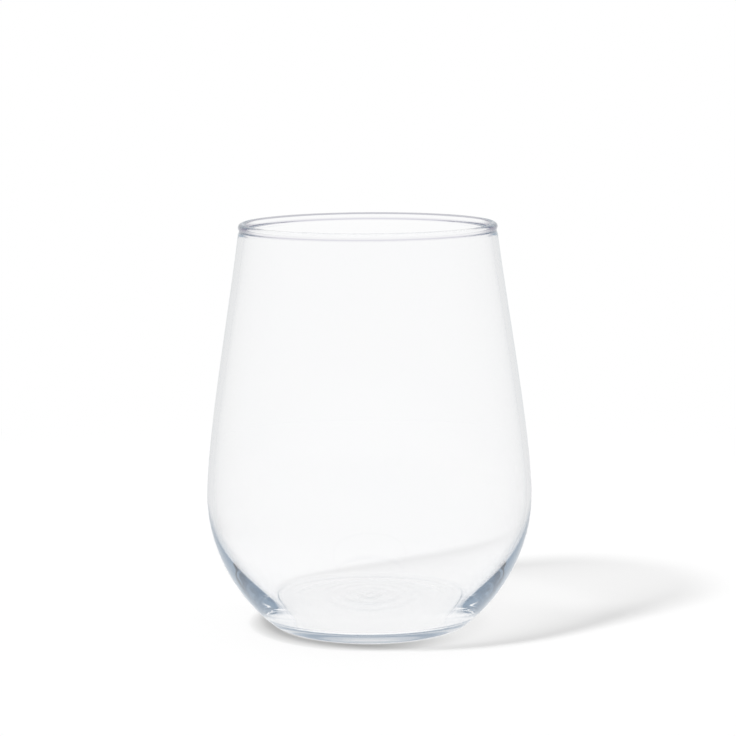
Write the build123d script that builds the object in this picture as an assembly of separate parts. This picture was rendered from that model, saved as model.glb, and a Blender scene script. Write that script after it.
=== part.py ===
from build123d import *
import os
from math import cos, radians, sin, sqrt

# A clear stemless wine glass: an egg-shaped bowl with a rounded lip, a thin wall that
# thickens towards the bottom, a heavy base whose inside floor swells in the middle, and a
# foot with a shallow hollow underneath, so that it stands on a ring.
# Millimetres. +Z is up, and the origin is on the axis at the level of the table.

# Outside of the bowl
HEIGHT = 110.5
BELLY_DIAMETER = 89.0
BELLY_HEIGHT = 35.8
NECK_DIAMETER = 70.4
NECK_LEAN_DEG = 7.4
SHOULDER_FULLNESS = 15.5
NECK_FULLNESS = 19.5

# Outside of the heel and the foot
FOOT_DIAMETER = 50.2
FOOT_EDGE_RADIUS = 4.0
FOOT_SLOPE_DEG = 38.0
FOOT_FULLNESS = 9.6
HEEL_FULLNESS = 16.3

# Lip: a round bead over the neck, a little narrower than the neck
BEAD_HEIGHT = 3.1
LIP_THICKNESS = 2.2
LIP_INSET = 0.05
LIP_OUTER_TURN_DEG = 35.0
LIP_INNER_TURN_DEG = 25.0

# Inside of the bowl
NECK_WALL = 1.7
BELLY_WALL = 1.5
CORNER_RADIUS = 2.5
CORNER_SLOPE_DEG = 44.0
INNER_BELLY_FULLNESS = 15.0
INNER_HEEL_FULLNESS = 9.0

# Floor and hollow: the foot's web over the hollow, the base's floor over the foot
STANDING_RING_WIDTH = 3.1
HOLLOW_DEPTH = 1.2
FOOT_WEB = 1.0
FLOOR_THICKNESS = 2.2
FLOOR_OVERHANG = 0.9
FLOOR_RISE = 1.8
BASE_OVER_FLOOR = 1.8

# Sizes that follow from those above
NECK_HEIGHT = HEIGHT - BEAD_HEIGHT
LIP_DIAMETER = NECK_DIAMETER - 2 * LIP_INSET
HOLLOW_DIAMETER = FOOT_DIAMETER - 2 * STANDING_RING_WIDTH
FLOOR_DIAMETER = FOOT_DIAMETER + 2 * FLOOR_OVERHANG
FOOT_TOP_HEIGHT = HOLLOW_DEPTH + FOOT_WEB
FLOOR_HEIGHT = FOOT_TOP_HEIGHT + FLOOR_THICKNESS
BASE_TOP_HEIGHT = FLOOR_HEIGHT + FLOOR_RISE + BASE_OVER_FLOOR


def polar(length, degrees):
    """A step of the given length in the section plane, turned up from the outward direction."""
    return Vector(length * cos(radians(degrees)), length * sin(radians(degrees)))


def section():
    """Half of the glass cut along its axis: radius across, height up."""
    neck_angle = 90 + NECK_LEAN_DEG
    belly_out = Vector(BELLY_DIAMETER / 2, BELLY_HEIGHT)
    neck_out = Vector(NECK_DIAMETER / 2, NECK_HEIGHT)
    belly_in = belly_out - Vector(BELLY_WALL, 0)
    neck_in = neck_out - Vector(NECK_WALL / cos(radians(NECK_LEAN_DEG)), 0)

    # Outside, from the standing ring up to the neck
    foot_out = Vector(FOOT_DIAMETER / 2, 0)
    edge_centre = foot_out + Vector(0, FOOT_EDGE_RADIUS)
    edge_mid = edge_centre + polar(FOOT_EDGE_RADIUS, FOOT_SLOPE_DEG / 2 - 90)
    edge_top = edge_centre + polar(FOOT_EDGE_RADIUS, FOOT_SLOPE_DEG - 90)
    foot_edge = ThreePointArc(foot_out, edge_mid, edge_top)
    heel = Bezier(
        edge_top,
        edge_top + polar(FOOT_FULLNESS, FOOT_SLOPE_DEG),
        belly_out - Vector(0, HEEL_FULLNESS),
        belly_out,
    )
    shoulder = Bezier(
        belly_out,
        belly_out + Vector(0, SHOULDER_FULLNESS),
        neck_out - polar(NECK_FULLNESS, neck_angle),
        neck_out,
    )

    # Lip: a round bead that the wall runs into on both sides
    lip_radius = LIP_THICKNESS / 2
    lip_centre = Vector(LIP_DIAMETER / 2 - lip_radius, HEIGHT - lip_radius)
    lip_out = lip_centre + polar(lip_radius, -LIP_OUTER_TURN_DEG)
    lip_top = lip_centre + polar(lip_radius, 90)
    lip_in = lip_centre + polar(lip_radius, 180 + LIP_INNER_TURN_DEG)
    out_reach = (lip_out - neck_out).length / 3
    in_reach = (neck_in - lip_in).length / 3
    groove = Bezier(
        neck_out,
        neck_out + polar(out_reach, neck_angle),
        lip_out - polar(out_reach, 90 - LIP_OUTER_TURN_DEG),
        lip_out,
    )
    lip = ThreePointArc(lip_out, lip_top, lip_in)
    throat = Bezier(
        lip_in,
        lip_in + polar(in_reach, LIP_INNER_TURN_DEG - 90),
        neck_in + polar(in_reach, neck_angle),
        neck_in,
    )

    # Inside, from the neck down to the middle of the floor
    inner_wall = Bezier(
        neck_in,
        neck_in - polar(NECK_FULLNESS, neck_angle),
        belly_in + Vector(0, SHOULDER_FULLNESS),
        belly_in,
    )
    floor_centre = Vector(0, FLOOR_HEIGHT + FLOOR_RISE)
    floor_edge = Vector(FLOOR_DIAMETER / 2, FLOOR_HEIGHT)
    corner_centre = floor_edge + Vector(0, CORNER_RADIUS)
    corner_mid = corner_centre + polar(CORNER_RADIUS, CORNER_SLOPE_DEG / 2 - 90)
    corner_top = corner_centre + polar(CORNER_RADIUS, CORNER_SLOPE_DEG - 90)
    inner_heel = Bezier(
        belly_in,
        belly_in - Vector(0, INNER_BELLY_FULLNESS),
        corner_top + polar(INNER_HEEL_FULLNESS, CORNER_SLOPE_DEG),
        corner_top,
    )
    corner = ThreePointArc(corner_top, corner_mid, floor_edge)
    floor_pull = Vector(FLOOR_DIAMETER / 6, 0)
    floor = Bezier(floor_edge, floor_edge - floor_pull, floor_centre + floor_pull, floor_centre)

    # Underside: a shallow dome inside the standing ring
    hollow_edge = Vector(HOLLOW_DIAMETER / 2, 0)
    hollow_top = Vector(0, HOLLOW_DEPTH)
    dome_radius = (hollow_edge.X**2 + HOLLOW_DEPTH**2) / (2 * HOLLOW_DEPTH)
    half_way = hollow_edge.X / 2
    hollow_mid = Vector(half_way, HOLLOW_DEPTH - dome_radius + sqrt(dome_radius**2 - half_way**2))
    axis_line = Line(floor_centre, hollow_top)
    hollow = ThreePointArc(hollow_top, hollow_mid, hollow_edge)
    standing_ring = Line(hollow_edge, foot_out)

    outside = [foot_edge, heel, shoulder]
    mouth = [groove, lip, throat]
    inside = [inner_wall, inner_heel, corner, floor]
    underside = [axis_line, hollow, standing_ring]
    return make_face(outside + mouth + inside + underside)


def zone(glass, low, high):
    """The stretch of the glass between two levels, open-ended where a level is None."""
    above = glass if low is None else split(glass, Plane.XY.offset(low), keep=Keep.TOP)
    return above if high is None else split(above, Plane.XY.offset(high), keep=Keep.BOTTOM)


glass = revolve(Plane.XZ * section(), Axis.Z)
parts = {
    "foot": zone(glass, None, FOOT_TOP_HEIGHT),
    "base": zone(glass, FOOT_TOP_HEIGHT, BASE_TOP_HEIGHT),
    "heel": zone(glass, BASE_TOP_HEIGHT, BELLY_HEIGHT),
    "side_wall": zone(glass, BELLY_HEIGHT, NECK_HEIGHT),
    "rim_bead": zone(glass, NECK_HEIGHT, None),
}

os.makedirs("parts", exist_ok=True)
for name, shape in parts.items():
    export_step(shape, f"parts/{name}.step")
    print(name, round(shape.volume, 1), "mm3")
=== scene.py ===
from math import cos, pi, radians, sin, tan
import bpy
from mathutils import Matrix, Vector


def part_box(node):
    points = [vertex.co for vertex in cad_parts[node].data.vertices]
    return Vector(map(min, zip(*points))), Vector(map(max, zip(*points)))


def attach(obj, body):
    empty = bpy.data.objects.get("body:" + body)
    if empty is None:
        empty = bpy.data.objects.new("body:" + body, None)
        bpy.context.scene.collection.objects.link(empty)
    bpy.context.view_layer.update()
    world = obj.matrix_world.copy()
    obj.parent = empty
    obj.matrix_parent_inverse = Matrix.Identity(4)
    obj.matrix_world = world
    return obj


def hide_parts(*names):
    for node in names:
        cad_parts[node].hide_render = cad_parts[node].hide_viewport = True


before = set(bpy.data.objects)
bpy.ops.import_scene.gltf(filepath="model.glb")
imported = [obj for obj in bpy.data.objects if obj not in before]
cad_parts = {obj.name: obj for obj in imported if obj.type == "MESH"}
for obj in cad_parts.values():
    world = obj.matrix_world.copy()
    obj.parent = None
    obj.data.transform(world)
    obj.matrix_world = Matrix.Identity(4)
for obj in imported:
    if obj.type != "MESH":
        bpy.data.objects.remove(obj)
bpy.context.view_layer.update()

from types import SimpleNamespace

import bpy
from bpy.props import FloatProperty, FloatVectorProperty, IntProperty, PointerProperty
from bpy.types import Operator, Panel, PropertyGroup
from mathutils import Vector

bl_info = {
    "name": "Stemless Wine Glass",
    "version": (1, 0, 0),
    "blender": (4, 5, 0),
    "location": "3D View > Sidebar > Wine Glass",
    "description": "Makes a clear stemless wine glass and the pale studio that it stands in",
    "category": "Add Mesh",
}

MM = 0.001
HALF_PI = pi / 2
FULL_TURN = 2 * pi
WHITE = (1, 1, 1, 1)
BLACK = (0, 0, 0, 1)
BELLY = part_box("heel")[1]
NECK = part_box("rim_bead")

# Points along each stretch of the section, and the gap that closes where its ends meet
HOLLOW_POINTS = 16
FOOT_EDGE_POINTS = 12
WALL_POINTS = 56
BEAD_SIDE_POINTS = 8
LIP_POINTS = 28
INNER_HEEL_POINTS = 64
CORNER_POINTS = 14
FLOOR_POINTS = 12
SEAM_GAP = 0.001 * MM
AROUND = "Facets around"

# Finer steps in the waves and the clouds of the glass
WAVE_DETAIL = 2.0
CLOUD_DETAIL = 3.0

# The stage: the lamp stands high up, to the left of the glass and a little in front of it
LAMP_TOWARDS = Vector((-0.597, -0.414, 1.0))
LAMP_AWAY = Vector((-LAMP_TOWARDS.x, -LAMP_TOWARDS.y, 0)).normalized()
LAMP_DISTANCE = 1.2
LEE_START = -0.5
LEE_END = 0.5
FLOOR_REACH = 4.0
FLOOR_DROP = 0.05 * MM
CARD_FACETS = 128
ANY_ANGLE = (-1.0, 0.0)
CAMERA_PLACE = (0.43 * MM, -677.24 * MM, 168.08 * MM)
CAMERA_PITCH = radians(90 - 8.187)
CAMERA_ROLL = radians(0.36)
CAMERA_LENS = 122.58
CAMERA_NEAR = 10 * MM
LIGHT_BOUNCES = 200


def length(name, description, default):
    """A size in metres that a user may change."""
    return FloatProperty(
        name=name, description=description, default=default, min=0, unit="LENGTH", precision=5
    )


def turn(name, description, degrees):
    """An angle that a user may change."""
    return FloatProperty(
        name=name, description=description, default=radians(degrees), subtype="ANGLE"
    )


def amount(name, description, default):
    """A number from 0 up that a user may change."""
    return FloatProperty(name=name, description=description, default=default, min=0)


def level(name, description, default):
    """A place along one way, from -1 to 1, that a user may change."""
    return FloatProperty(name=name, description=description, default=default, min=-1, max=1)


def tone(name, description, default):
    """A colour that a user may change."""
    return FloatVectorProperty(
        name=name, description=description, default=default, size=3, min=0, max=1, subtype="COLOR"
    )


class BowlSizes(PropertyGroup):
    """The section of the glass. Fullness is how far a curve holds its direction at one end."""

    belly_diameter: length("Belly diameter", "Widest outside diameter", 2 * BELLY.x)
    belly_height: length("Belly height", "Height of the widest place", BELLY.z)
    neck_diameter: length("Neck diameter", "Outside diameter just under the lip", 2 * NECK[1].x)
    neck_height: length("Neck height", "Height at which the wall runs into the lip", NECK[0].z)
    neck_lean: turn("Neck lean", "How far the wall leans in at the neck", 7.4)
    shoulder_fullness: length("Shoulder fullness", "Wall above the belly", 15.5 * MM)
    neck_fullness: length("Neck fullness", "Wall below the neck", 19.5 * MM)
    foot_diameter: length("Foot diameter", "Outside of the ring under the glass", 50.2 * MM)
    foot_edge: length("Foot edge radius", "Rounding between the ring and the wall", 4.0 * MM)
    foot_slope: turn("Foot slope", "How steeply the wall leaves the foot", 38.0)
    foot_fullness: length("Foot fullness", "Wall above the foot", 9.6 * MM)
    heel_fullness: length("Heel fullness", "Wall below the belly", 16.3 * MM)
    lip_height: length("Lip height", "Height of the whole glass", NECK[1].z)
    lip_diameter: length("Lip diameter", "Outside diameter of the rounded lip", 70.3 * MM)
    lip_thickness: length("Lip thickness", "Thickness of the rounded lip", 2.2 * MM)
    lip_outer_turn: turn("Lip outer turn", "How far the lip rounds back outside", 35.0)
    lip_inner_turn: turn("Lip inner turn", "How far the lip rounds back inside", 25.0)
    neck_wall: length("Neck wall", "Thickness of the wall at the neck", 1.7 * MM)
    belly_wall: length("Belly wall", "Thickness of the wall at the belly", 1.5 * MM)
    floor_height: length("Floor height", "Height of the floor inside, at its edge", 4.4 * MM)
    floor_rise: length("Floor rise", "How far the floor swells up at its middle", 1.8 * MM)
    floor_diameter: length("Floor diameter", "Floor inside, out to the rounded corner", 52.0 * MM)
    corner_radius: length("Corner radius", "Rounding between the floor and the wall", 2.5 * MM)
    corner_slope: turn("Corner slope", "How steeply the inside leaves the corner", 44.0)
    inner_belly_fullness: length("Inner belly fullness", "Inside below the belly", 15.0 * MM)
    inner_heel_fullness: length("Inner heel fullness", "Inside above the corner", 9.0 * MM)
    hollow_diameter: length("Hollow diameter", "Shallow hollow under the foot", 44.0 * MM)
    hollow_depth: length("Hollow depth", "Depth of the hollow under the foot", 1.2 * MM)


class GlassFinish(PropertyGroup):
    """The look of the clear glass."""

    facets_around: IntProperty(name=AROUND, description="Faces in one turn", default=256, min=32)
    tint: tone("Tint", "Colour of light after a long way through the glass", (0.55, 0.62, 0.69))
    tint_density: amount("Tint density", "How soon the tint shows, per metre", 3.0)
    bend: amount("Bend", "Refractive index", 1.5)
    cast: tone("Cast", "Faint colour of the skin where it is cloudy", (0.993, 0.995, 1.0))
    haze: amount("Haze", "Roughness of the skin where it is cloudy", 0.012)
    cloud_scale: amount("Cloud scale", "Clouds along one metre of the skin", 60.0)
    wave_scale: amount("Wave scale", "Waves along one metre of the moulded wall", 45.0)
    wave_depth: length("Wave depth", "Depth of the waves in the moulded wall", 0.006 * MM)
    ring_pitch: length("Ring pitch", "From ring to ring in the moulded bottom", 4.4 * MM)
    ring_depth: length("Ring depth", "Depth of the rings in the moulded bottom", 0.008 * MM)
    ring_reach: length("Ring reach", "Radius where the rings in the bottom end", 20.0 * MM)
    ring_top: length("Ring top", "Height where the rings in the bottom end", 9.0 * MM)


class StudioLook(PropertyGroup):
    """The pale studio around the glass."""

    # The floor, and where it fades into the room
    floor_tone: tone("Floor tone", "Colour of the floor", (0.5, 0.5, 0.5))
    floor_glow: amount("Floor glow", "How pale the floor looks without the lamp", 0.545)
    fill: amount("Fill", "Even light from all around", 0.12)
    open_start: length("Open start", "Radius where the floor begins to fade into the room", 0.2)
    open_end: length("Open end", "Radius from which the floor is as white as the room", 0.35)

    # The painted shadow where the glass touches the floor, dimmed into the floor's glow
    contact_depth: amount("Contact depth", "Share of its glow that the floor loses there", 0.9)
    contact_lee: amount("Contact lee", "Share of that loss made good away from the lamp", 0.85)
    contact_reach: length("Contact reach", "How far from the wall the floor loses glow", 5.0 * MM)
    contact_start: length("Contact start", "Radius up to which the floor stays pale", 25.0 * MM)
    contact_full: length("Contact full", "Radius from which it loses its full share", 27.0 * MM)
    contact_end: length("Contact end", "Radius from which it loses nothing", 70.0 * MM)

    # The floor behind the glass, where painted even light stands in for light that the glass
    # gathers, and evens out the shadow
    seen_floor: tone("Seen floor", "Colour of the floor behind the glass", (0.99, 0.99, 0.99))
    seen_share: amount("Seen share", "How much of the shadow is evened out there", 0.5)

    # The room and the floor where the glass mirrors them
    near_room: amount("Near room", "Brightness of the near side of the room", 0.76)
    far_room: amount("Far room", "Brightness of the far side of the room", 0.85)
    room_start: level("Room start", "Where the room begins to grow pale", 0.3)
    room_end: level("Room end", "Where the room is palest", 0.8)
    floor_mirror: amount("Floor mirror", "Brightness of the floor around the foot", 1.0)
    pale_start: length("Pale start", "Radius up to which the floor stays pale", 0.05)
    pale_end: length("Pale end", "Radius from which the floor has the tone of the room", 0.12)
    # Painted shade: after many turns in the glass the mirrored studio nears the deep tone
    deep_tone: tone("Deep tone", "Colour after many turns in the glass", (0.24, 0.33, 0.43))
    deep_turns: amount("Deep turns", "Turns in the glass until the deep tone is reached", 9.0)

    # The room above, in rays that the glass bends
    ceiling_tone: tone("Ceiling tone", "Colour of the room above", (0.34, 0.32, 0.46))
    ceiling_start: level("Ceiling start", "Where the ceiling begins", -0.1)
    ceiling_end: level("Ceiling end", "Where the ceiling is darkest", 1.0)

    # Two ring-shaped cards around the rim that paint shade into it, seen only in light from the
    # glass: the lower draws its dark far edge, the upper its dark ends
    flag_inside: length("Flag inside", "Radius of the inner edge of both cards", 35.3 * MM)
    flag_turns: amount("Flag turns", "Turns in the glass after which light meets no card", 3.0)
    flag_tone: tone("Flag tone", "Colour of the lower card", (0.54, 0.54, 0.59))
    flag_height: length("Flag height", "Height of the lower card's inner edge", 107.0 * MM)
    flag_width: length("Flag width", "How far the lower card reaches out", 44.6 * MM)
    flag_slope: turn("Flag slope", "How steeply the lower card rises outwards", -25.0)
    side_tone: tone("Side tone", "Colour of the upper card", (0.01, 0.0, 0.1))
    side_height: length("Side height", "Height of the upper card's inner edge", 108.0 * MM)
    side_width: length("Side width", "How far the upper card reaches out", 30.0 * MM)
    side_slope: turn("Side slope", "How steeply the upper card rises outwards", 69.0)
    side_fade: amount("Side fade", "How grazing light is that begins to meet the card", 0.47)
    side_full: amount("Side full", "How grazing light is that meets all of the card", 0.76)

    # The lamp, and the shadow that it casts through the glass
    lamp_strength: amount("Lamp strength", "Light of the lamp, in watts per square metre", 3.2)
    lamp_spread: turn("Lamp spread", "How large the lamp looks from the glass", 7.0)
    shade_across: amount("Shade across", "Light lost at a skin that the lamp meets square", 0.065)
    shade_along: amount("Shade along", "Further light lost at a skin that it only grazes", 0.5)
    shade_power: amount("Shade power", "How closely that loss keeps to grazed skins", 3.0)
    shade_start: length("Shade start", "Height below which the base passes all light", 6.0 * MM)
    shade_full: length("Shade full", "Height from which the wall takes its full share", 22.0 * MM)


class Wire:
    """An output of a node that takes part in sums: each operator adds the maths node for it."""

    def __init__(self, web, socket):
        self.web = web
        self.socket = socket

    def of(self, name):
        """Another output of the same node."""
        return Wire(self.web, self.socket.node.outputs[name])

    def __add__(self, other):
        return self.web.maths("ADD", self, other)

    def __radd__(self, other):
        return self.web.maths("ADD", other, self)

    def __sub__(self, other):
        return self.web.maths("SUBTRACT", self, other)

    def __rsub__(self, other):
        return self.web.maths("SUBTRACT", other, self)

    def __mul__(self, other):
        return self.web.maths("MULTIPLY", self, other)

    def __rmul__(self, other):
        return self.web.maths("MULTIPLY", other, self)

    def __truediv__(self, other):
        return self.web.maths("DIVIDE", self, other)

    def __mod__(self, other):
        return self.web.maths("MODULO", self, other)


class Web:
    """Fills a node tree."""

    def __init__(self, tree):
        self.tree = tree

    def add(self, kind, settings=None, sockets=None):
        """A node of a kind, with its settings first and then the values or links of its sockets."""
        node = self.tree.nodes.new(kind)
        for name, value in (settings or {}).items():
            setattr(node, name, value)
        for key, value in (sockets or {}).items():
            for one in value if isinstance(value, list) else [value]:
                if isinstance(one, Wire):
                    self.tree.links.new(one.socket, node.inputs[key])
                else:
                    node.inputs[key].default_value = one
        return Wire(self, node.outputs[0]) if len(node.outputs) else node

    def maths(self, operation, *terms):
        """A sum on numbers, or on vectors where one of the terms is a vector."""
        vectors = any(isinstance(term, Wire) and term.socket.type == "VECTOR" for term in terms)
        kind = "ShaderNodeVectorMath" if vectors else "ShaderNodeMath"
        return self.add(kind, {"operation": operation}, dict(enumerate(terms)))


def fresh_web(block):
    """The emptied node tree of a material or a world."""
    block.use_nodes = True
    block.node_tree.nodes.clear()
    return Web(block.node_tree)


def smooth_step(web, value, start, end):
    """0 up to the start, 1 from the end on, and smooth in between."""
    return web.add(
        "ShaderNodeMapRange",
        {"interpolation_type": "SMOOTHSTEP"},
        {"Value": value, "From Min": start, "From Max": end},
    )


def mixed(web, share, first, second):
    """A colour between two colours."""
    return web.add("ShaderNodeMix", {"data_type": "RGBA"}, {0: share, 6: first, 7: second}).of(2)


def blended(web, share, first, second):
    """A surface between two surfaces."""
    return web.add("ShaderNodeMixShader", sockets={0: share, 1: first, 2: second})


def grey(web, brightness):
    """A colour with no hue."""
    channels = dict.fromkeys(("Red", "Green", "Blue"), brightness)
    return web.add("ShaderNodeCombineColor", sockets=channels)


def own_place(web):
    """Where a point of a piece lies."""
    return web.add("ShaderNodeTexCoord").of("Object")


def split_place(web, place):
    """The three numbers of a place or a direction, taken with of()."""
    return web.add("ShaderNodeSeparateXYZ", sockets={"Vector": place})


def section_points(web, size):
    """The glass cut along its axis: points from under the foot round to the floor's middle."""

    def point(across, up):
        return web.add("ShaderNodeCombineXYZ", sockets={"X": across, "Z": up})

    def step(far, angle):
        return point(far * web.maths("COSINE", angle), far * web.maths("SINE", angle))

    def apart(first, second):
        return web.maths("LENGTH", second - first).of("Value")

    def line(start, end):
        return web.add("GeometryNodeCurvePrimitiveLine", sockets={"Start": start, "End": end})

    def curve(start, start_pull, end_pull, end, count):
        ends = {"Start": start, "Start Handle": start_pull, "End Handle": end_pull, "End": end}
        kind = "GeometryNodeCurvePrimitiveBezierSegment"
        return web.add(kind, {"mode": "POSITION"}, {"Resolution": count, **ends})

    def arc(start, middle, end, count):
        ends = {"Start": start, "Middle": middle, "End": end}
        return web.add("GeometryNodeCurveArc", {"mode": "POINTS"}, {"Resolution": count, **ends})

    neck_up = size.neck_lean + HALF_PI
    belly_out = point(size.belly_diameter / 2, size.belly_height)
    neck_out = point(size.neck_diameter / 2, size.neck_height)
    belly_in = belly_out - point(size.belly_wall, 0)
    neck_in = neck_out - point(size.neck_wall / web.maths("COSINE", size.neck_lean), 0)
    shoulder_rise = point(0, size.shoulder_fullness)
    neck_drop = step(size.neck_fullness, neck_up)

    # Underside: a shallow dome and the flat ring around it
    hollow_radius = size.hollow_diameter / 2
    hollow_top = point(0, size.hollow_depth)
    hollow_edge = point(hollow_radius, 0)
    dome_radius = (hollow_radius * hollow_radius / size.hollow_depth + size.hollow_depth) / 2
    dome_angle = web.maths("ARCSINE", hollow_radius / dome_radius) / 2
    hollow_mid = hollow_top + step(dome_radius, HALF_PI - dome_angle) - point(0, dome_radius)
    foot_out = point(size.foot_diameter / 2, 0)

    # Outside, from the foot up to the neck
    edge_centre = foot_out + point(0, size.foot_edge)
    edge_mid = edge_centre + step(size.foot_edge, size.foot_slope / 2 - HALF_PI)
    edge_top = edge_centre + step(size.foot_edge, size.foot_slope - HALF_PI)
    foot_rise = step(size.foot_fullness, size.foot_slope)
    heel_drop = point(0, size.heel_fullness)

    # Lip: a round bead that the wall runs into on both sides
    lip_radius = size.lip_thickness / 2
    lip_centre = point(size.lip_diameter / 2 - lip_radius, size.lip_height - lip_radius)
    lip_out = lip_centre + step(lip_radius, 0 - size.lip_outer_turn)
    lip_top = lip_centre + point(0, lip_radius)
    lip_in = lip_centre + step(lip_radius, size.lip_inner_turn + pi)
    out_reach = apart(neck_out, lip_out) / 3
    in_reach = apart(lip_in, neck_in) / 3
    groove_start = neck_out + step(out_reach, neck_up)
    groove_end = lip_out - step(out_reach, HALF_PI - size.lip_outer_turn)
    throat_start = lip_in + step(in_reach, size.lip_inner_turn - HALF_PI)
    throat_end = neck_in + step(in_reach, neck_up)

    # Inside, from the neck down to the middle of the floor
    floor_centre = point(0, size.floor_height + size.floor_rise)
    floor_edge = point(size.floor_diameter / 2, size.floor_height)
    floor_third = point(size.floor_diameter / 6, 0)
    floor_end = floor_centre + floor_third
    corner_centre = floor_edge + point(0, size.corner_radius)
    corner_mid = corner_centre + step(size.corner_radius, size.corner_slope / 2 - HALF_PI)
    corner_top = corner_centre + step(size.corner_radius, size.corner_slope - HALF_PI)
    inner_end = corner_top + step(size.inner_heel_fullness, size.corner_slope)
    inner_drop = point(0, size.inner_belly_fullness)

    stretches = [
        arc(hollow_top, hollow_mid, hollow_edge, HOLLOW_POINTS),
        line(hollow_edge, foot_out),
        arc(foot_out, edge_mid, edge_top, FOOT_EDGE_POINTS),
        curve(edge_top, edge_top + foot_rise, belly_out - heel_drop, belly_out, WALL_POINTS),
        curve(belly_out, belly_out + shoulder_rise, neck_out - neck_drop, neck_out, WALL_POINTS),
        curve(neck_out, groove_start, groove_end, lip_out, BEAD_SIDE_POINTS),
        arc(lip_out, lip_top, lip_in, LIP_POINTS),
        curve(lip_in, throat_start, throat_end, neck_in, BEAD_SIDE_POINTS),
        curve(neck_in, neck_in - neck_drop, belly_in + shoulder_rise, belly_in, WALL_POINTS),
        curve(belly_in, belly_in - inner_drop, inner_end, corner_top, INNER_HEEL_POINTS),
        arc(corner_top, corner_mid, floor_edge, CORNER_POINTS),
        curve(floor_edge, floor_edge - floor_third, floor_end, floor_centre, FLOOR_POINTS),
    ]
    # The last link of a joining node comes first, so the stretches are linked from the end
    pieces = [
        web.add("GeometryNodeCurveToMesh", sockets={"Curve": stretch})
        for stretch in reversed(stretches)
    ]
    return web.add("GeometryNodeJoinGeometry", sockets={"Geometry": pieces})


def turned(web, points, around):
    """A row of points turned once about the axis into a closed skin."""
    count = web.add("GeometryNodeAttributeDomainSize", {"component": "MESH"}, {"Geometry": points})
    grid = web.add("GeometryNodeMeshGrid", sockets={"Vertices X": around + 1, "Vertices Y": count})
    index = web.add("GeometryNodeInputIndex")
    angle = web.maths("FLOOR", index / count) * FULL_TURN / around
    place = web.add(
        "GeometryNodeSampleIndex",
        {"data_type": "FLOAT_VECTOR"},
        {"Geometry": points, "Value": web.add("GeometryNodeInputPosition"), "Index": index % count},
    )
    across = split_place(web, place)
    spot = web.add(
        "ShaderNodeCombineXYZ",
        sockets={
            "X": across * web.maths("COSINE", angle),
            "Y": across * web.maths("SINE", angle),
            "Z": across.of("Z"),
        },
    )
    skin = web.add("GeometryNodeSetPosition", sockets={"Geometry": grid, "Position": spot})
    merged = {"Geometry": skin, "Distance": SEAM_GAP}
    closed = web.add("GeometryNodeMergeByDistance", sockets=merged)
    return web.add("GeometryNodeSetShadeSmooth", sockets={"Geometry": closed, "Shade Smooth": True})


def size_names():
    """The sizes of the glass with the names that a user sees."""
    return {key: BowlSizes.bl_rna.properties[key].name for key in BowlSizes.__annotations__}


def glass_tree(material):
    """The node tree that makes the glass from its sizes."""
    tree = bpy.data.node_groups.new("turned_glass", "GeometryNodeTree")
    names = size_names()
    for name in names.values():
        tree.interface.new_socket(name=name, in_out="INPUT", socket_type="NodeSocketFloat")
    tree.interface.new_socket(name=AROUND, in_out="INPUT", socket_type="NodeSocketInt")
    tree.interface.new_socket(name="Geometry", in_out="OUTPUT", socket_type="NodeSocketGeometry")
    web = Web(tree)
    given = web.add("NodeGroupInput")
    size = SimpleNamespace(**{key: given.of(name) for key, name in names.items()})
    skin = turned(web, section_points(web, size), given.of(AROUND))
    whole = web.add("GeometryNodeRealizeInstances", sockets={"Geometry": skin})
    finished = web.add("GeometryNodeSetMaterial", sockets={"Geometry": whole, "Material": material})
    web.add("NodeGroupOutput", sockets={"Geometry": finished})
    return tree


def clear_glass(finish):
    """Clear glass, cool in its depth, with the faint waves of a moulded wall."""
    material = bpy.data.materials.new("moulded_glass")
    web = fresh_web(material)
    place = own_place(web)

    def noise(scale, detail):
        return web.add(
            "ShaderNodeTexNoise", sockets={"Vector": place, "Scale": scale, "Detail": detail}
        )

    waves = noise(finish.wave_scale, WAVE_DETAIL)
    clouds = noise(finish.cloud_scale, CLOUD_DETAIL)
    out = web.maths("LENGTH", web.maths("MULTIPLY", place, (1, 1, 0))).of("Value")
    up = split_place(web, place).of("Z")
    low = 1 - smooth_step(web, up, finish.ring_top / 2, finish.ring_top)
    inside = 1 - smooth_step(web, out, finish.ring_reach / 2, finish.ring_reach)
    rings = web.maths("COSINE", out * (FULL_TURN / finish.ring_pitch)) * low * inside
    height = waves * finish.wave_depth + rings * finish.ring_depth
    skin = web.add(
        "ShaderNodeBsdfPrincipled",
        sockets={
            "Base Color": mixed(web, clouds, WHITE, (*finish.cast, 1)),
            "Roughness": clouds * finish.haze,
            "IOR": finish.bend,
            "Transmission Weight": 1.0,
            "Normal": web.add(
                "ShaderNodeBump", sockets={"Strength": 1.0, "Distance": 1.0, "Height": height}
            ),
        },
    )
    depth = web.add(
        "ShaderNodeVolumeAbsorption",
        sockets={"Color": (*finish.tint, 1), "Density": finish.tint_density},
    )
    web.add("ShaderNodeOutputMaterial", sockets={"Surface": skin, "Volume": depth})
    return material


def put(scene, name, data):
    """A new object in the scene, at the origin."""
    thing = bpy.data.objects.new(name, data)
    scene.collection.objects.link(thing)
    return thing


def hide_from(thing, *rays):
    """Let the given kinds of rays pass an object as if it weren't there."""
    for kind in rays:
        setattr(thing, f"visible_{kind}", False)


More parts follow.
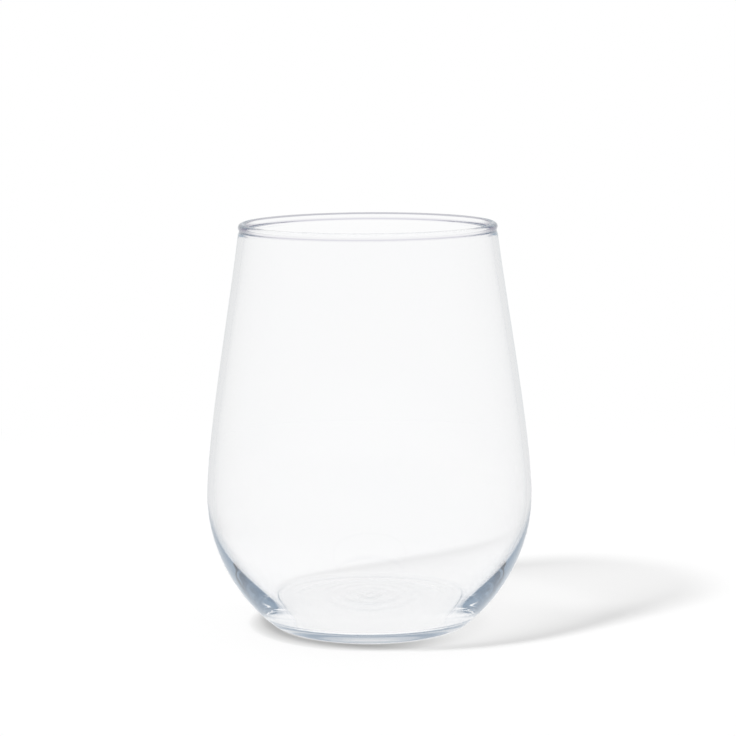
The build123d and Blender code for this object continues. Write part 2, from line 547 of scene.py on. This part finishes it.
class GLASS_OT_bowl(Operator):
    """Make the glass as one closed skin and let it stand for the zones of the frame"""

    bl_idname = "wine_glass.bowl"
    bl_label = "Make the glass"

    def execute(self, context):
        scene = context.scene
        sizes = scene.wine_glass_sizes
        finish = scene.wine_glass_finish
        material = clear_glass(finish)
        tree = glass_tree(material)
        glass = put(scene, "glass_bowl", bpy.data.meshes.new("glass_blank"))
        maker = glass.modifiers.new("turned_glass", "NODES")
        maker.node_group = tree
        values = {name: getattr(sizes, key) for key, name in size_names().items()}
        values[AROUND] = finish.facets_around
        for socket in tree.interface.items_tree:
            if socket.in_out == "INPUT":
                maker[socket.identifier] = values[socket.name]
        made = glass.evaluated_get(context.evaluated_depsgraph_get())
        mesh = bpy.data.meshes.new_from_object(made)
        mesh.name = "glass_bowl"
        mesh.materials.clear()
        mesh.materials.append(material)
        mesh.polygons.foreach_set("material_index", [0] * len(mesh.polygons))
        glass.modifiers.remove(maker)
        glass.data = mesh
        if not len(mesh.polygons):
            raise RuntimeError("the section of the glass made no faces")
        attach(glass, "root")
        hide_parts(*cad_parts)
        return {"FINISHED"}


def ray_turns(web, kind):
    """How often a ray has met a surface of a kind: Diffuse, Glossy or Transmission."""
    return web.add("ShaderNodeLightPath").of(f"{kind} Depth")


def direct_rays(web):
    """1 for rays that come from the camera without meeting the floor first, and else 0."""
    return 1 - web.maths("MINIMUM", ray_turns(web, "Diffuse"), 1)


def passed_rays(web):
    """1 for direct rays that have gone through the glass, and else 0."""
    return web.maths("MINIMUM", ray_turns(web, "Transmission"), 1) * direct_rays(web)


def mirrored_rays(web):
    """1 for direct rays that the glass has mirrored, and else 0."""
    return web.maths("MINIMUM", ray_turns(web, "Glossy"), 1) * direct_rays(web)


def mirrored_colour(web, studio, brightness, share):
    """The studio as the glass mirrors it, which nears the deep tone with every further turn, as
    painted shade for light that stays long in the glass.
    """
    further = web.maths("MAXIMUM", ray_turns(web, "Glossy") - 1, 0)
    depth = web.maths("MINIMUM", further / studio.deep_turns, 1) * share
    return mixed(web, depth, grey(web, brightness), (*studio.deep_tone, 1))


def room_brightness(web, studio, ahead):
    """The room as the glass mirrors it: dim near the camera and at the sides, pale beyond."""
    far = smooth_step(web, ahead, studio.room_start, studio.room_end)
    return studio.near_room + far * (studio.far_room - studio.near_room)


def pale_floor(studio):
    """A white floor that keeps the shadow of the lamp, and shows plain tones in mirrored rays."""
    material = bpy.data.materials.new("pale_floor")
    web = fresh_web(material)
    place = own_place(web)
    way = web.maths("NORMALIZE", place)
    away = web.maths("LENGTH", place).of("Value")
    passed = passed_rays(web)

    # Painted contact shadow: its glow is dimmed where the glass comes close, and painted light
    # takes most of that back on the side away from the lamp
    sky = web.add("ShaderNodeAmbientOcclusion", sockets={"Distance": studio.contact_reach}).of("AO")
    lee = web.maths("DOT_PRODUCT", way, LAMP_AWAY).of("Value")
    painted_lee_light = smooth_step(web, lee, LEE_START, LEE_END) * studio.contact_lee
    outside = smooth_step(web, away, studio.contact_start, studio.contact_full)
    close = outside * web.maths("LESS_THAN", away, studio.contact_end)
    painted_contact_shadow = (1 - sky) * close * (1 - painted_lee_light) * (1 - passed)
    bright = direct_rays(web) * studio.floor_glow * (1 - painted_contact_shadow * studio.contact_depth)
    glow = web.add("ShaderNodeEmission", sockets={"Color": grey(web, bright)})
    matte = web.add("ShaderNodeBsdfDiffuse", sockets={"Color": (*studio.floor_tone, 1)})
    lit = web.add("ShaderNodeAddShader", sockets={0: matte, 1: glow})

    # Behind the glass painted even light evens out its shadow, and far out it is as white as the
    # room
    painted_even_light = web.add("ShaderNodeEmission", sockets={"Color": (*studio.seen_floor, 1)})
    seen = blended(web, passed * studio.seen_share, lit, painted_even_light)
    faded = smooth_step(web, away, studio.open_start, studio.open_end)
    straight = blended(web, faded, seen, web.add("ShaderNodeEmission", sockets={"Color": WHITE}))

    # In mirrored rays it is pale around the foot and takes the tone of the room further out
    room = room_brightness(web, studio, split_place(web, way).of("Y"))
    far = smooth_step(web, away, studio.pale_start, studio.pale_end)
    brightness = far * room + (1 - far) * studio.floor_mirror
    colour = mirrored_colour(web, studio, brightness, far)
    plain = web.add("ShaderNodeEmission", sockets={"Color": colour})
    both = blended(web, mirrored_rays(web), straight, plain)
    web.add("ShaderNodeOutputMaterial", sockets={"Surface": both})
    return material


def pale_room(studio):
    """White behind the glass, dimmer where the glass mirrors it, and a low fill on the floor."""
    world = bpy.data.worlds.new("pale_room")
    web = fresh_web(world)
    way = split_place(web, web.add("ShaderNodeTexCoord").of("Generated"))
    above = smooth_step(web, way.of("Z"), studio.ceiling_start, studio.ceiling_end)
    backdrop = mixed(web, passed_rays(web) * above, WHITE, (*studio.ceiling_tone, 1))
    direct = direct_rays(web)
    strength = direct + (1 - direct) * studio.fill
    straight = web.add("ShaderNodeBackground", sockets={"Color": backdrop, "Strength": strength})
    colour = mirrored_colour(web, studio, room_brightness(web, studio, way.of("Y")), 1)
    plain = web.add("ShaderNodeBackground", sockets={"Color": colour})
    both = blended(web, mirrored_rays(web), straight, plain)
    web.add("ShaderNodeOutputWorld", sockets={"Surface": both})
    return world


def clear_shade(studio):
    """What the lamp meets in place of the glass: pale across the skin and darker along it."""
    material = bpy.data.materials.new("clear_shade")
    web = fresh_web(material)
    along = web.add("ShaderNodeLayerWeight").of("Facing")
    wall = smooth_step(
        web, split_place(web, own_place(web)).of("Z"), studio.shade_start, studio.shade_full
    )
    loss = studio.shade_across + studio.shade_along * web.maths("POWER", along, studio.shade_power)
    clear = web.add("ShaderNodeBsdfTransparent", sockets={"Color": WHITE})
    dark = web.add("ShaderNodeBsdfTransparent", sockets={"Color": BLACK})
    both = blended(web, wall * loss, clear, dark)
    web.add("ShaderNodeOutputMaterial", sockets={"Surface": both})
    return material


def rim_shade_card(name, colour, turns, fade, full):
    """A card that paints shade into the rim: light from the rim meets it on its upper face, where
    it grazes it enough.
    """
    material = bpy.data.materials.new(name)
    web = fresh_web(material)
    upper = 1 - web.add("ShaderNodeNewGeometry").of("Backfacing")
    grazing = smooth_step(web, web.add("ShaderNodeLayerWeight").of("Facing"), fade, full)
    few = web.maths("LESS_THAN", ray_turns(web, "Glossy"), turns)
    open_air = web.add("ShaderNodeBsdfTransparent", sockets={"Color": WHITE})
    # Painted shade: the card's face glows in its dark colour
    face = web.add("ShaderNodeEmission", sockets={"Color": (*colour, 1)})
    both = blended(web, upper * few * direct_rays(web) * grazing, open_air, face)
    web.add("ShaderNodeOutputMaterial", sockets={"Surface": both})
    return material


def ring_card(scene, material, radius, height, width, slope):
    """A ring that rises outwards from a level circle, and that only light from the glass meets."""
    circles = ((radius, height), (radius + width, height + width * tan(slope)))
    turns = [FULL_TURN * i / CARD_FACETS for i in range(CARD_FACETS)]
    spots = [(far * cos(way), far * sin(way), up) for far, up in circles for way in turns]
    pairs = [(i, (i + 1) % CARD_FACETS) for i in range(CARD_FACETS)]
    ring = bpy.data.meshes.new(material.name)
    ring.from_pydata(spots, [], [(i + CARD_FACETS, j + CARD_FACETS, j, i) for i, j in pairs])
    ring.materials.append(material)
    card = put(scene, material.name, ring)
    hide_from(card, "camera", "diffuse", "glossy", "volume_scatter", "shadow")


def lay_floor(scene, studio):
    """The floor just under the foot, and the room around it."""
    reach = FLOOR_REACH
    corners = [(-reach, -reach), (reach, -reach), (reach, reach), (-reach, reach)]
    plate = bpy.data.meshes.new("floor")
    plate.from_pydata([(x, y, -FLOOR_DROP) for x, y in corners], [], [(0, 1, 2, 3)])
    plate.materials.append(pale_floor(studio))
    floor = put(scene, "floor", plate)
    scene.world = pale_room(studio)


def hang_lamp(scene, studio):
    """The lamp, and the copy of the glass that casts a pale shadow in its place."""
    bulb = bpy.data.lights.new("lamp", "SUN")
    bulb.energy = studio.lamp_strength
    bulb.angle = studio.lamp_spread
    lamp = put(scene, "lamp", bulb)
    lamp.location = LAMP_TOWARDS.normalized() * LAMP_DISTANCE
    lamp.rotation_euler = (-LAMP_TOWARDS).to_track_quat("-Z", "Y").to_euler()
    hide_from(lamp, "glossy", "transmission")

    glass = bpy.data.objects["glass_bowl"]
    hide_from(glass, "shadow")
    shade = put(scene, "glass_shade", glass.data.copy())
    shade.data.materials[0] = clear_shade(studio)
    hide_from(shade, "camera", "diffuse", "glossy", "transmission", "volume_scatter")


def ring_the_rim(scene, studio):
    """The two cards around the rim, which paint shade into it."""
    inside, turns = studio.flag_inside, studio.flag_turns
    lower = rim_shade_card("rim_shade_card", studio.flag_tone, turns, *ANY_ANGLE)
    upper = rim_shade_card("rim_end_shade_card", studio.side_tone, turns, studio.side_fade, studio.side_full)
    ring_card(scene, lower, inside, studio.flag_height, studio.flag_width, studio.flag_slope)
    ring_card(scene, upper, inside, studio.side_height, studio.side_width, studio.side_slope)


def set_camera(scene):
    """The camera in front of the glass, a little above its rim."""
    lens = bpy.data.cameras.new("camera")
    lens.lens = CAMERA_LENS
    lens.clip_start = CAMERA_NEAR
    camera = put(scene, "camera", lens)
    camera.location = CAMERA_PLACE
    camera.rotation_euler = (CAMERA_PITCH, CAMERA_ROLL, 0)
    scene.camera = camera


class GLASS_OT_stage(Operator):
    """Set the floor, the light, the cards around the rim and the camera"""

    bl_idname = "wine_glass.stage"
    bl_label = "Set the stage"

    def execute(self, context):
        scene = context.scene
        studio = scene.wine_glass_studio
        lay_floor(scene, studio)
        hang_lamp(scene, studio)
        ring_the_rim(scene, studio)
        set_camera(scene)
        scene.view_settings.view_transform = "Standard"
        scene.cycles.caustics_reflective = False
        scene.cycles.caustics_refractive = False
        scene.cycles.max_bounces = LIGHT_BOUNCES
        scene.cycles.transmission_bounces = LIGHT_BOUNCES
        scene.cycles.glossy_bounces = LIGHT_BOUNCES
        return {"FINISHED"}


class GLASS_PT_maker(Panel):
    """The sizes and looks of the glass, and the steps that make it"""

    bl_label = "Stemless Wine Glass"
    bl_idname = "GLASS_PT_maker"
    bl_space_type = "VIEW_3D"
    bl_region_type = "UI"
    bl_category = "Wine Glass"

    def draw(self, context):
        for group in GROUPS:
            held = getattr(context.scene, group)
            column = self.layout.column(align=True)
            for key in held.__annotations__:
                column.prop(held, key)
        for operator in (GLASS_OT_bowl, GLASS_OT_stage):
            self.layout.operator(operator.bl_idname)


GROUPS = {
    "wine_glass_sizes": BowlSizes,
    "wine_glass_finish": GlassFinish,
    "wine_glass_studio": StudioLook,
}
CLASSES = (*GROUPS.values(), GLASS_OT_bowl, GLASS_OT_stage, GLASS_PT_maker)


def register():
    """Make the sizes, looks, steps and panel known to Blender."""
    for one in CLASSES:
        bpy.utils.register_class(one)
    for name, group in GROUPS.items():
        setattr(bpy.types.Scene, name, PointerProperty(type=group))


def unregister():
    """Take all of it out again."""
    for name in GROUPS:
        delattr(bpy.types.Scene, name)
    for one in reversed(CLASSES):
        bpy.utils.unregister_class(one)


def main():
    """Make the glass and its stage."""
    register()
    bpy.ops.wine_glass.bowl()
    bpy.ops.wine_glass.stage()


if __name__ == "__main__":
    main()
